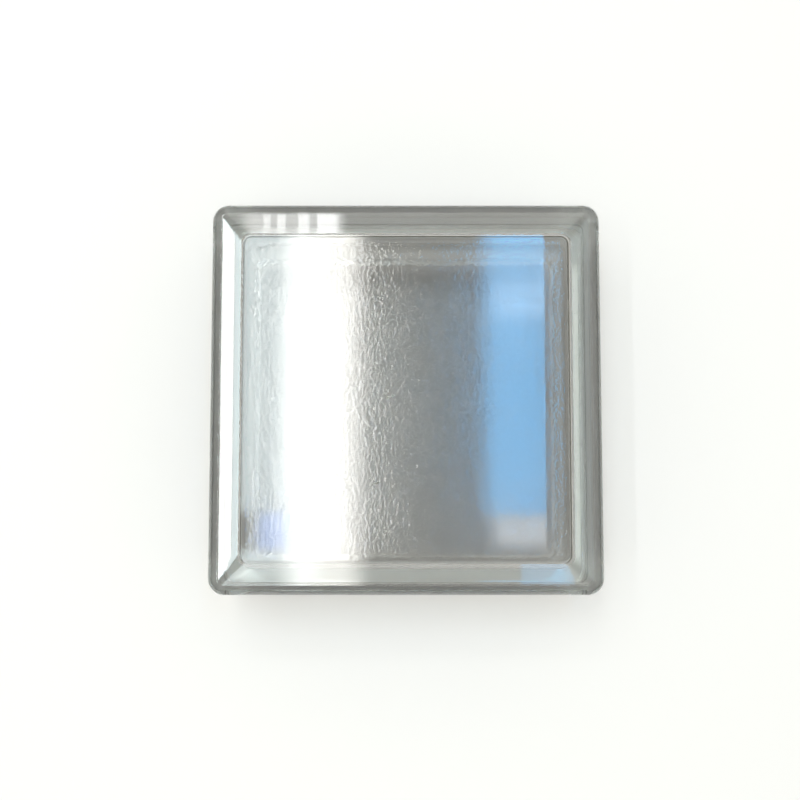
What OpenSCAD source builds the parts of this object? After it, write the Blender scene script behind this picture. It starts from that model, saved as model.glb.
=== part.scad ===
// Hollow glass block: two pressed glass trays fused rim to rim into one sealed piece.
// It lies on its rear face with the front face up. The origin is under the centre of the
// rear face, X and Y run along the sides of the face, and Z runs through the thickness.
// All sizes are in millimetres.

/* [Face] */
// Side of the square face
face_w = 190; // [150:1:300]
// Radius of the face's four corners, seen from the front
corner_r = 8; // [7:0.5:14]
// Rounding along the outer edge of each face
edge_r = 5; // [2:0.5:7]
// Width of the margin that slopes from the flat panel to the edge of the face
margin_w = 15.5; // [12:0.5:25]
// Fall of the margin, from the panel to the rounding of the edge
margin_fall = 0.7; // [0.2:0.1:1.2]
// Flat strip between the foot of the margin and the rounding of the edge
margin_seat = 0.3; // [0.1:0.1:1]
// Corner radius of the panel
panel_corner_r = 4; // [1:0.5:8]
// Glass thickness of each face, at its panel
face_t = 7.5; // [6:0.5:12]

/* [Thickness] */
// Overall thickness from face to face
block_t = 80; // [70:1:120]

/* [Mortar groove] */
// Depth of the groove round the sides, measured at the seam
groove_d = 5.5; // [3:0.5:7]
// Width of the lip that each face keeps at the sides, along the thickness
lip_w = 12; // [9:0.5:18]
// Rounding of the lip's back edge
lip_back_r = 2.5; // [1:0.5:4]
// Length of the sloping shoulder behind the lip, along the thickness
shoulder_w = 6; // [4:0.5:10]
// Fillet where the shoulder runs into the groove
shoulder_fillet_r = 5; // [2:0.5:6]
// Draft of the groove's floor, which deepens towards the seam, in degrees
groove_draft = 1.5; // [0:0.5:3]

/* [Cavity] */
// Glass thickness of the side walls at the seam
wall_t = 6.5; // [5:0.5:10]
// Draft of the cavity's walls, which widen towards the seam, in degrees
cavity_draft = 3; // [1:0.5:5]
// Corner radius of the flat on the back of each face
flat_corner_r = 3; // [0.5:0.5:8]
// Width of the bevel that runs round the flat, up to the corner where it meets the wall
bevel_w = 2.5; // [2:0.1:5]
// Slope of the bevel against the face, in degrees
bevel_slope = 36; // [30:1:50]
// Rounding of the edge between the flat and its bevel
bevel_edge_r = 0.6; // [0.4:0.1:1.2]
// Fillet between the bevel and the cavity's wall
cavity_fillet_r = 4; // [2:0.5:6]

/* [Seam] */
// Width of the bead where the halves are fused, outside
bead_w = 5; // [3:0.5:8]
// Height of the bead outside
bead_h = 1; // [0.4:0.1:2]
// Width of the bead inside the cavity
inner_bead_w = 4; // [3:0.5:8]
// Height of the bead inside the cavity
inner_bead_h = 0.8; // [0.4:0.1:2]

/* [Hidden] */
$fn = 96;
glass_colour = [0.80, 0.86, 0.86];
seam_z = block_t / 2;

// Corner axes sit on whole hundredths of a millimetre, so that runs and corners share their end faces
function snapped(length) = floor(100 * length) / 100;

// Straight runs of the outside start at the corner axes, and radii are measured from there
body_half = snapped(face_w / 2 - corner_r);
body_r = face_w / 2 - body_half;
groove_start_z = lip_w + shoulder_w;
seam_r = body_r - groove_d;
groove_start_r = seam_r + (seam_z - groove_start_z) * tan(groove_draft);

// The panel and its margin stand on the body as a low cap, whose corners turn about an axis of their own
cap_half = snapped(face_w / 2 - margin_w - panel_corner_r);
panel_r = face_w / 2 - margin_w - cap_half;
cap_foot_r = face_w / 2 - edge_r - margin_seat - cap_half;

// The cavity's corner turns about its own axis, far enough in to leave the flat its corner radius
cavity_seam_half = face_w / 2 - groove_d - wall_t;
cavity_turn_z = face_t + bevel_w * tan(bevel_slope);
cavity_draft_x = (seam_z - cavity_turn_z) * tan(cavity_draft);
cavity_half = snapped(cavity_seam_half - cavity_draft_x - bevel_w - flat_corner_r);
cavity_seam_r = cavity_seam_half - cavity_half;
cavity_turn_r = cavity_seam_r - cavity_draft_x;
flat_r = cavity_turn_r - bevel_w;

// Corners of an edge outline as [distance out from the corner axis, height, rounding],
// from the rear face to the seam
body_edge = [
    [0, margin_fall, 0],
    [body_r, margin_fall, edge_r],
    [body_r, lip_w, lip_back_r],
    [groove_start_r, groove_start_z, shoulder_fillet_r],
    [seam_r, seam_z, 0],
];
cavity_edge = [
    [0, face_t, 0],
    [flat_r, face_t, bevel_edge_r],
    [cavity_turn_r, cavity_turn_z, cavity_fillet_r],
    [cavity_seam_r, seam_z, 0],
];

// An outline from the rear face to the seam, continued as its mirror image to the front face
function both_halves(lower) = concat(
    lower,
    [for (i = [len(lower) - 2:-1:0]) [lower[i][0], block_t - lower[i][1], lower[i][2]]]
);

function place(corner) = [corner[0], corner[1]];
function unit(v) = v / norm(v);
function next_place(corners, i) = place(corners[(i + 1) % len(corners)]);
function last_place(corners, i) = place(corners[(i + len(corners) - 1) % len(corners)]);
function to_last(corners, i) = unit(last_place(corners, i) - place(corners[i]));
function to_next(corners, i) = unit(next_place(corners, i) - place(corners[i]));

// Positive where the outline turns left, so where the corner points outwards
function turn(corners, i) = cross(to_next(corners, i), to_last(corners, i));

// Distance from a corner to the points where its arc touches the two edges
function touch_length(corners, i) =
    corners[i][2] / sqrt(
        (1 - to_last(corners, i) * to_next(corners, i)) / (1 + to_last(corners, i) * to_next(corners, i))
    );
function touch_points(corners, i) = [
    place(corners[i]) + touch_length(corners, i) * to_last(corners, i),
    place(corners[i]) + touch_length(corners, i) * to_next(corners, i),
];
function arc_centre(corners, i) =
    place(corners[i]) + unit(to_last(corners, i) + to_next(corners, i))
        * norm([touch_length(corners, i), corners[i][2]]);

// The sector between a corner's arc and the arc's centre
module corner_sector(corners, i) {
    points = touch_points(corners, i);
    intersection() {
        polygon([points[0], place(corners[i]), points[1], arc_centre(corners, i)]);
        translate(arc_centre(corners, i)) circle(r = corners[i][2]);
    }
}

// A closed outline whose corners are rounded by true arcs, inwards or outwards
module rounded_outline(corners) {
    rounded = [for (i = [0:len(corners) - 1]) if (corners[i][2] > 0) i];
    difference() {
        union() {
            polygon([
                for (i = [0:len(corners) - 1])
                    each corners[i][2] > 0 ? touch_points(corners, i) : [place(corners[i])]
            ]);
            for (i = rounded) if (turn(corners, i) > 0) corner_sector(corners, i);
        }
        for (i = rounded) if (turn(corners, i) < 0) corner_sector(corners, i);
    }
}

// The round-backed bead at the seam, standing out from a wall at the given radius
module seam_bead(wall_r, width, height, outwards) {
    bead_r = (width * width / 4 + height * height) / (2 * height);
    intersection() {
        translate([wall_r + outwards * (height - bead_r), seam_z]) circle(r = bead_r);
        translate([wall_r - height, seam_z - width / 2]) square([2 * height, width]);
    }
}

module body_outline() {
    union() {
        rounded_outline(both_halves(body_edge));
        seam_bead(seam_r, bead_w, bead_h, 1);
    }
}

// The cap reaches below its foot, into the body
module cap_outline() {
    polygon([[0, 0], [panel_r, 0], [cap_foot_r, margin_fall], [cap_foot_r, edge_r], [0, edge_r]]);
}

module cavity_outline() {
    difference() {
        rounded_outline(both_halves(cavity_edge));
        seam_bead(cavity_seam_r, inner_bead_w, inner_bead_h, -1);
    }
}

// Carries an edge outline round a square: a core, a straight run along each side
// and a quarter turn at each corner
module swept_square(half_side, low, high) {
    translate([-half_side, -half_side, low]) cube([2 * half_side, 2 * half_side, high - low]);
    for (side = [0:3]) rotate(90 * side) {
        translate([half_side, 0, 0])
            rotate([90, 0, 0])
                linear_extrude(2 * half_side, center = true) children();
        translate([half_side, half_side, 0])
            rotate_extrude(angle = 90) children();
    }
}

module face_cap() {
    swept_square(cap_half, 0, edge_r) cap_outline();
}

module glass_block() {
    color(glass_colour, 0.5)
        difference() {
            union() {
                swept_square(body_half, margin_fall, block_t - margin_fall) body_outline();
                face_cap();
                translate([0, 0, block_t]) rotate([180, 0, 0]) face_cap();
            }
            swept_square(cavity_half, face_t, block_t - face_t) cavity_outline();
        }
}

glass_block();
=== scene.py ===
import math

import bmesh
import bpy
from mathutils import Matrix, Vector, noise


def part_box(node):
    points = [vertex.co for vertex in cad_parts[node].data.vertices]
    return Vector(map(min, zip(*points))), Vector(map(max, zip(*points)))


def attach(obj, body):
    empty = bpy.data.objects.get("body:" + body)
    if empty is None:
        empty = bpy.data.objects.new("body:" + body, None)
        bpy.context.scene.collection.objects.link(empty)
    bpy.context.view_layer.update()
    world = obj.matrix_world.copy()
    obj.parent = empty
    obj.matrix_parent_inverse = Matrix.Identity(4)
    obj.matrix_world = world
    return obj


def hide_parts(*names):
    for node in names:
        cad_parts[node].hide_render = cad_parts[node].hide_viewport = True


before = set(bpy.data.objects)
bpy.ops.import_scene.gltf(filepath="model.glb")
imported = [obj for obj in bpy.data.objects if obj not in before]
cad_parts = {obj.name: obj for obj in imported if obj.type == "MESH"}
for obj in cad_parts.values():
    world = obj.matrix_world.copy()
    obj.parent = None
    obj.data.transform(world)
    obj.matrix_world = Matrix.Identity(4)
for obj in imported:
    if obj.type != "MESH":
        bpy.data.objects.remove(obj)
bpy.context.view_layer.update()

mm = 0.001


# Outer skin of the block: clear glass, pressed as two trays and fused rim to rim while hot. Each face is
# a flat panel in a sloping margin, and the sides are drawn in between two lips to key the mortar.
# Faces are fire-polished, lips a little dull and the groove matt, with the seam's bead round its middle.
block_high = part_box("glass_block")[1]
face_half = block_high[0]
block_t = block_high[2]
seam_z = block_t / 2
corner_r = 8 * mm
edge_r = 5 * mm
margin_w = 15.5 * mm
margin_fall = 0.7 * mm
margin_seat = 0.3 * mm
panel_corner_r = 4 * mm
crease_r = 0.3 * mm
groove_d = 5.5 * mm
lip_w = 12 * mm
lip_back_r = 2.5 * mm
shoulder_w = 6 * mm
shoulder_fillet_r = 5 * mm
groove_draft = math.radians(1.5)
bead_w = 5 * mm
bead_h = 1 * mm
bead_foot_r = 0.6 * mm
bead_peak = 1.5
bead_back_r = 2.9 * mm
arc_steps = 10
weld_gap = 0.001 * mm


def both_halves(lower):
    """An outline from the rear face to the seam, continued as its mirror image to the front face."""
    upper = [(out, block_t - height, rounding) for out, height, rounding in reversed(lower[:-1])]
    return lower + upper


def outline_wire(bm, corners, start):
    """Draws an outline's corners as a wire that stands at start, and rounds each corner to its radius."""
    places = [start + Vector((out, 0, height)) for out, height, rounding in corners]
    posts = [bm.verts.new(place) for place in places]
    for pair in zip(posts, posts[1:]):
        bm.edges.new(pair)
    for index, (out, height, rounding) in enumerate(corners):
        if rounding:
            back = places[index - 1] - places[index]
            ahead = places[index + 1] - places[index]
            touch_length = rounding / math.tan(back.angle(ahead) / 2)
            bmesh.ops.bevel(
                bm, geom=[posts[index]], offset=touch_length, offset_type="OFFSET",
                segments=arc_steps, profile=0.5, affect="VERTICES", material=-1)
    return bm.verts[:] + bm.edges[:]


def sweep_round_square(bm, wire, half, runs, turns):
    """Carries a wire along one side of a square and round its corner, then repeats that quarter all round."""
    corner = Vector((half, half, 0))
    for angle, shift, steps in ((0, 2 * half / runs, runs), (math.pi / 2, 0, turns)):
        wire = bmesh.ops.spin(
            bm, geom=wire, cent=corner, axis=(0, 0, 1), dvec=(0, shift, 0), angle=angle, steps=steps,
            use_merge=False, use_normal_flip=False, use_duplicate=False)["geom_last"]
    quarter = bm.verts[:] + bm.edges[:] + bm.faces[:]
    for side in range(1, 4):
        copy = bmesh.ops.duplicate(bm, geom=quarter)["geom"]
        bmesh.ops.rotate(
            bm, verts=[part for part in copy if isinstance(part, bmesh.types.BMVert)], cent=(0, 0, 0),
            matrix=Matrix.Rotation(side * math.pi / 2, 3, "Z"))
    bmesh.ops.remove_doubles(bm, verts=bm.verts[:], dist=weld_gap)


def raise_margins(bm):
    """Carries the rim of each open end in and up to its flat panel, whose edge is eased a little."""
    panel_half = face_half - margin_w - panel_corner_r
    slope = margin_fall / (margin_w - edge_r - margin_seat)
    axis, turn_r = outer_half, corner_r - edge_r - margin_seat
    rings = (
        (outer_half, edge_r + margin_seat + crease_r),
        (panel_half, margin_w - 2 * crease_r),
        (panel_half, margin_w - crease_r),
        (panel_half, margin_w + crease_r),
        (panel_half, margin_w + 2 * crease_r),
    )
    for new_axis, inset in rings:
        rim = [edge for edge in bm.edges if edge.is_boundary]
        raised = bmesh.ops.extrude_edge_only(bm, edges=rim)["geom"]
        new_r = face_half - inset - new_axis
        depth = max(margin_w - inset, 0) * slope
        for vert in raised:
            if isinstance(vert, bmesh.types.BMVert):
                for along in range(2):
                    straight = min(max(vert.co[along], -axis), axis)
                    vert.co[along] = straight * new_axis / axis + (vert.co[along] - straight) * new_r / turn_r
                vert.co.z = block_t - depth if vert.co.z > seam_z else depth
        axis, turn_r = new_axis, new_r


def close_faces(bm):
    """Closes the open ends with an even grid each, and turns the skin's faces outwards."""
    for front in (False, True):
        rim = [edge for edge in bm.edges if edge.is_boundary and (edge.verts[0].co.z > seam_z) == front]
        middles = [(edge, (edge.verts[0].co + edge.verts[1].co) / 2) for edge in rim]
        rails = [edge for edge, middle in middles if abs(middle.x) > abs(middle.y)]
        bmesh.ops.grid_fill(bm, edges=rails, mat_nr=0, use_smooth=True, use_interp_simple=False)
    bmesh.ops.recalc_face_normals(bm, faces=bm.faces[:])


def rise(value, start, length):
    """Goes evenly from 0 to 1 as a value passes from start over a length."""
    return min(max((value - start) / length, 0), 1)


outer_half = face_half - corner_r
seam_out = corner_r - groove_d
groove_start_z = lip_w + shoulder_w
groove_start_out = seam_out + (seam_z - groove_start_z) * math.tan(groove_draft)
outer_corners = both_halves([
    (corner_r - edge_r - margin_seat, margin_fall, 0),
    (corner_r, margin_fall, edge_r),
    (corner_r, lip_w, lip_back_r),
    (groove_start_out, groove_start_z, shoulder_fillet_r),
    (seam_out, seam_z - bead_w / 2 - bead_foot_r, bead_foot_r),
    (seam_out + bead_peak * bead_h, seam_z, bead_back_r),
])
outer_skin = bmesh.new()
outer_skin.verts.layers.float.new("grain")
outer_roughness = outer_skin.verts.layers.float.new("roughness")
outer_painted_shade = outer_skin.verts.layers.float.new("painted_shade")
outer_wire = outline_wire(outer_skin, outer_corners, Vector((outer_half, -outer_half, 0)))
sweep_round_square(outer_skin, outer_wire, outer_half, runs=48, turns=8)
raise_margins(outer_skin)
close_faces(outer_skin)

lip_roughness = 0.14
dull_start = 3.5 * mm
dull_fade = 2 * mm
groove_roughness = 0.45
matt_start = lip_w - 1.5 * mm
matt_fade = 3 * mm
for vert in outer_skin.verts:
    depth = min(vert.co.z, block_t - vert.co.z)
    on_lip = rise(depth, dull_start, dull_fade)
    in_groove = rise(depth, matt_start, matt_fade)
    vert[outer_roughness] = lip_roughness * on_lip + (groove_roughness - lip_roughness) * in_groove
    vert[outer_painted_shade] = 1


# Inner skin: the sealed hollow that the two plungers leave, with a bevel round each face and drafted matt
# walls, whose colour is greyed as painted shade to darken the light that comes through them into the face.
# The plungers' stippled faces leave a soft grain on the backs of both faces, the rear one matt. A few seeds,
# bubbles from the melt, lie in the front face.
face_t = 7.5 * mm
wall_t = 6.5 * mm
cavity_draft = math.radians(3)
flat_corner_r = 3 * mm
bevel_w = 2.5 * mm
bevel_slope = math.radians(36)
bevel_edge_r = 0.6 * mm
cavity_fillet_r = 4 * mm
inner_bead_w = 4 * mm
inner_bead_h = 0.8 * mm
inner_bead_back_r = 2.2 * mm
flat_rim_w = 0.5 * mm

cavity_turn_out = flat_corner_r + bevel_w
cavity_turn_z = face_t + bevel_w * math.tan(bevel_slope)
cavity_seam_out = cavity_turn_out + (seam_z - cavity_turn_z) * math.tan(cavity_draft)
cavity_half = face_half - groove_d - wall_t - cavity_seam_out
cavity_corners = both_halves([
    (flat_corner_r - flat_rim_w, face_t, 0),
    (flat_corner_r, face_t, bevel_edge_r),
    (cavity_turn_out, cavity_turn_z, cavity_fillet_r),
    (cavity_seam_out, seam_z - inner_bead_w / 2 - bead_foot_r, bead_foot_r),
    (cavity_seam_out - bead_peak * inner_bead_h, seam_z, inner_bead_back_r),
])
inner_skin = bmesh.new()
cavity_wire = outline_wire(inner_skin, cavity_corners, Vector((cavity_half, -cavity_half, 0)))
sweep_round_square(inner_skin, cavity_wire, cavity_half, runs=96, turns=8)
close_faces(inner_skin)

seed_r = 0.35 * mm
seed_stretch = Matrix.Diagonal((1.8, 1, 1, 1))
seed_turn = Matrix.Rotation(math.radians(20), 4, "Z")
seed_places_mm = ((-13.6, 48.3), (-12, 47.6), (-8.6, -0.3), (-6.4, 0.6), (-15.2, -42), (-13.6, -41.4))
for x, y in seed_places_mm:
    seed_place = Matrix.Translation((x * mm, y * mm, block_t - face_t / 2))
    bmesh.ops.create_icosphere(
        inner_skin, subdivisions=2, radius=seed_r, matrix=seed_place @ seed_turn @ seed_stretch)
bmesh.ops.reverse_faces(inner_skin, faces=inner_skin.faces[:])

grain_margin = 4 * mm
swell_length = 5 * mm
swell_height = 0.012 * mm
flat_tolerance = 0.01 * mm
clear_depth = face_t + 0.9 * mm
clear_fade = 0.2 * mm
wall_roughness = 0.72
# Painted shade: the inner walls' glass colour is greyed to this level.
wall_painted_shade = 0.6
rear_roughness = 0.36
flat_half = cavity_half + flat_corner_r
grain = inner_skin.verts.layers.float.new("grain")
inner_roughness = inner_skin.verts.layers.float.new("roughness")
inner_painted_shade = inner_skin.verts.layers.float.new("painted_shade")
for vert in inner_skin.verts:
    depth = block_t - vert.co.z
    on_wall = rise(depth, clear_depth, clear_fade) * rise(vert.co.z, clear_depth, clear_fade)
    on_rear = 1 - rise(vert.co.z, clear_depth, clear_fade)
    vert[inner_roughness] = wall_roughness * on_wall + rear_roughness * on_rear
    # Painted shade: greys the walls' colour, so that the light through them shows darker in the face.
    vert[inner_painted_shade] = 1 - (1 - wall_painted_shade) * on_wall
    if min(abs(vert.co.z - face_t), abs(depth - face_t)) < flat_tolerance:
        cover = rise(flat_half - max(abs(vert.co.x), abs(vert.co.y)), 0, grain_margin)
        vert[grain] = cover * cover * (3 - 2 * cover)
        vert.co.z += swell_height * vert[grain] * noise.noise(vert.co / swell_length)


# The block itself: both skins as one closed piece of clear soda-lime glass with a faint grey-green tint.
# Roughness, painted shade and stipple follow the skins: clear faces, dull lips, matt groove and matt walls,
# the walls' colour greyed as painted shade.
inner_mesh = bpy.data.meshes.new("inner_skin")
inner_skin.to_mesh(inner_mesh)
inner_skin.free()
outer_skin.from_mesh(inner_mesh)
bpy.data.meshes.remove(inner_mesh)
for face in outer_skin.faces:
    face.smooth = True
block_mesh = bpy.data.meshes.new("pressed_glass_block")
outer_skin.to_mesh(block_mesh)
outer_skin.free()
block = bpy.data.objects.new("pressed_glass_block", block_mesh)
bpy.context.scene.collection.objects.link(block)

clear_glass = bpy.data.materials.new("clear_pressed_glass")
clear_glass.use_nodes = True
nodes = clear_glass.node_tree.nodes
links = clear_glass.node_tree.links
shader = nodes["Principled BSDF"]
shader.inputs["Transmission Weight"].default_value = 1
shader.inputs["IOR"].default_value = 1.52
skin_painted_shade = nodes.new("ShaderNodeAttribute")
skin_painted_shade.attribute_name = "painted_shade"
# Painted shade: this attribute greys the glass colour on the inner walls.
links.new(skin_painted_shade.outputs["Fac"], shader.inputs["Base Color"])
skin_roughness = nodes.new("ShaderNodeAttribute")
skin_roughness.attribute_name = "roughness"
links.new(skin_roughness.outputs["Fac"], shader.inputs["Roughness"])

stipple_size = 1.5 * mm
stipple_height = 0.06 * mm
stipple_place = nodes.new("ShaderNodeTexCoord")
stipple = nodes.new("ShaderNodeTexNoise")
stipple.inputs["Scale"].default_value = 1 / stipple_size
stipple.inputs["Detail"].default_value = 1
links.new(stipple_place.outputs["Object"], stipple.inputs["Vector"])
grain_cover = nodes.new("ShaderNodeAttribute")
grain_cover.attribute_name = "grain"
relief = nodes.new("ShaderNodeBump")
relief.inputs["Distance"].default_value = stipple_height
links.new(stipple.outputs["Fac"], relief.inputs["Height"])
links.new(grain_cover.outputs["Fac"], relief.inputs["Strength"])
links.new(relief.outputs["Normal"], shader.inputs["Normal"])
tint = nodes.new("ShaderNodeVolumeAbsorption")
tint.inputs["Color"].default_value = (0.57, 0.63, 0.6, 1)
tint.inputs["Density"].default_value = 10
links.new(tint.outputs["Volume"], nodes["Material Output"].inputs["Volume"])
block_mesh.materials.append(clear_glass)
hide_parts("glass_block")
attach(block, "root")


# Floor: a plain white matt sheet that the block lies on, wide enough to reach the horizon.
# It lies a hair below the block, so that glass and floor don't touch.
floor_gap = 0.5 * mm
floor_half = 10
floor_sheet = bmesh.new()
bmesh.ops.create_grid(floor_sheet, x_segments=1, y_segments=1, size=floor_half)
bmesh.ops.translate(floor_sheet, verts=floor_sheet.verts[:], vec=(0, 0, -floor_gap))
floor_mesh = bpy.data.meshes.new("floor")
floor_sheet.to_mesh(floor_mesh)
floor_sheet.free()
floor = bpy.data.objects.new("floor", floor_mesh)
bpy.context.scene.collection.objects.link(floor)
floor_paint = bpy.data.materials.new("white_floor")
floor_paint.use_nodes = True
floor_shader = floor_paint.node_tree.nodes["Principled BSDF"]
floor_shader.inputs["Base Color"].default_value = (0.86, 0.86, 0.86, 1)
floor_shader.inputs["Roughness"].default_value = 0.9
floor_shader.inputs["Specular IOR Level"].default_value = 0
floor_mesh.materials.append(floor_paint)


# Sky: soft light from all round, pale at the horizon and overhead with a darker band between them,
# which gives the glass its thin dark lines.
sky_levels = (
    (0, 0.42), (0.08, 0.42), (0.1, 0.04), (0.3, 0.1), (0.5, 0.54), (0.9, 0.54), (0.96, 0.82), (1, 0.82),
)
sky_tint = (1, 0.965, 0.87)
sky_strength = 1.6
world = bpy.data.worlds.new("studio")
bpy.context.scene.world = world
world.use_nodes = True
sky_nodes = world.node_tree.nodes
sky_links = world.node_tree.links
sky_place = sky_nodes.new("ShaderNodeTexCoord")
sky_height = sky_nodes.new("ShaderNodeSeparateXYZ")
sky_links.new(sky_place.outputs["Generated"], sky_height.inputs["Vector"])
sky_ramp = sky_nodes.new("ShaderNodeValToRGB")
sky_stops = sky_ramp.color_ramp.elements
while len(sky_stops) < len(sky_levels):
    sky_stops.new(0.5)
for stop, (height, level) in zip(sky_stops, sky_levels):
    stop.position = height
    stop.color = [level * share for share in sky_tint] + [1]
sky_links.new(sky_height.outputs["Z"], sky_ramp.inputs["Fac"])
sky_links.new(sky_ramp.outputs["Color"], sky_nodes["Background"].inputs["Color"])
sky_nodes["Background"].inputs["Strength"].default_value = sky_strength


# Lamps: flat strips overhead, white, aqua and blue, whose mirror images lie across the face and its margins.
# Each fades over a share of its width and of its length, and hangs a little above the one before it.
lamp_z = block_t + 1.5
lamp_step = 1 * mm
white, warm_white, cool_white = (1, 1, 1), (1, 0.98, 0.93), (0.9, 0.95, 1)
aqua, blue, violet = (0.8, 0.95, 1), (0.08, 0.5, 1), (0.25, 0.45, 1)
lamps = (
    ("white_strip", (-0.237, -0.047), (-0.42, 0.5), 12, warm_white, (0.36, 0.36), 0.02),
    ("aqua_strip", (-0.37, -0.12), (-0.085, 0.5), 5.2, aqua, (0.15, 0.3), 0.05),
    ("aqua_gap", (-0.27, -0.17), (-0.15, -0.06), 8, violet, (0.3, 0.3), 0.3),
    ("aqua_foot", (-0.37, -0.12), (-0.42, -0.125), 5.2, aqua, (0.15, 0.3), 0.1),
    ("blue_strip", (0.125, 0.26), (-0.09, 0.5), 8, blue, (0.4, 0.01), 0.05),
    ("blue_gap", (0.14, 0.265), (0.255, 0.375), 2.4, white, (0.4, 0.1), 0.4),
    ("blue_foot", (0.14, 0.265), (-0.15, -0.06), 6, cool_white, (0.4, 0.1), 0.4),
    ("left_margin", (-0.549, -0.521), (-0.4, 0.75), 19, white, (0.02, 0.02), 0.05),
    ("left_margin_inside", (-0.521, -0.502), (-0.4, 0.75), 11, aqua, (0.02, 0.02), 0.05),
    ("right_margin", (0.48, 0.62), (-0.45, 0.8), 1.4, aqua, (0.4, 0.4), 0.05),
    ("top_margin", (-0.4, 0.4), (0.58, 0.78), 2, warm_white, (0.1, 0.1), 0.1),
    ("top_margin_white", (-0.32, -0.1), (0.6, 0.76), 7, white, (0.2, 0.1), 0.1),
    ("top_margin_dash_1", (-0.264, -0.247), (0.62, 0.74), 6, white, (0.2, 0.2), 0.1),
    ("top_margin_dash_2", (-0.238, -0.218), (0.62, 0.74), 7, white, (0.2, 0.2), 0.1),
    ("top_margin_dash_3", (-0.199, -0.172), (0.62, 0.74), 8, white, (0.2, 0.2), 0.1),
    ("top_margin_dash_4", (-0.162, -0.115), (0.62, 0.74), 9, white, (0.1, 0.3), 0.1),
    ("bottom_margin", (-0.4, 0.4), (-0.46, -0.33), 2, warm_white, (0.1, 0.1), 0.1),
    ("bottom_margin_blue", (0.212, 0.318), (-0.42, -0.35), 4, blue, (0.1, 0.1), 0.1),
)
for number, (name, across, along, radiance, colour, side_fade, end_fade) in enumerate(lamps):
    lamp = bpy.data.lights.new(name, "AREA")
    lamp.shape = "RECTANGLE"
    lamp.size = across[1] - across[0]
    lamp.size_y = along[1] - along[0]
    lamp.energy = radiance * math.pi * lamp.size * lamp.size_y
    lamp.color = colour
    lamp.use_nodes = True
    lamp_nodes = lamp.node_tree.nodes
    lamp_links = lamp.node_tree.links
    lamp_place = lamp_nodes.new("ShaderNodeNewGeometry")
    lamp_axes = lamp_nodes.new("ShaderNodeSeparateXYZ")
    lamp_links.new(lamp_place.outputs["Parametric"], lamp_axes.inputs["Vector"])
    lamp_level = lamp_nodes.new("ShaderNodeMath")
    lamp_level.operation = "MULTIPLY"
    fades = (("X", side_fade[0], side_fade[1]), ("Y", end_fade, end_fade))
    for factor, (axis, first, last) in zip(lamp_level.inputs, fades):
        lamp_fade = lamp_nodes.new("ShaderNodeValToRGB")
        lamp_fade.color_ramp.interpolation = "EASE"
        lamp_stops = lamp_fade.color_ramp.elements
        while len(lamp_stops) < 4:
            lamp_stops.new(0.5)
        for stop, position, level in zip(lamp_stops, (0, first, 1 - last, 1), (0, 1, 1, 0)):
            stop.position = position
            stop.color = (level, level, level, 1)
        lamp_links.new(lamp_axes.outputs[axis], lamp_fade.inputs["Fac"])
        lamp_links.new(lamp_fade.outputs["Color"], factor)
    lamp_links.new(lamp_level.outputs["Value"], lamp_nodes["Emission"].inputs["Strength"])
    holder = bpy.data.objects.new(name, lamp)
    holder.location = (sum(across) / 2, sum(along) / 2, lamp_z + number * lamp_step)
    holder.visible_camera = False
    bpy.context.scene.collection.objects.link(holder)


# Camera: almost straight above the front face, leaning a little towards the lower edge.
# The lens brings the block's outline, at its widest below the rounded edge, to its share of the picture.
camera_distance = 0.55
camera_elevation = math.radians(85)
picture_w = 800
outline_w = 391.2
camera_lens = bpy.data.cameras.new("camera")
camera = bpy.data.objects.new("camera", camera_lens)
bpy.context.scene.collection.objects.link(camera)
target = Vector((-2.9 * mm, -1.7 * mm, block_t))
view_line = Vector((0, -math.cos(camera_elevation), math.sin(camera_elevation)))
camera.location = target + camera_distance * view_line
camera.rotation_euler = (target - camera.location).to_track_quat("-Z", "Y").to_euler()
camera_lens.sensor_width = 36
camera_lens.lens = (
    camera_lens.sensor_width * outline_w / picture_w / (2 * face_half) * (camera_distance + edge_r))
bpy.context.scene.camera = camera

# Light paths: enough bounces for the thick rim. Light passes five glass surfaces at most, so that the panel
# shows what it mirrors rather than the floor below it.
settings = bpy.context.scene.cycles
settings.max_bounces = 24
settings.transmission_bounces = 5
settings.glossy_bounces = 24
settings.caustics_reflective = True
settings.caustics_refractive = True
bpy.context.scene.view_settings.view_transform = "Standard"
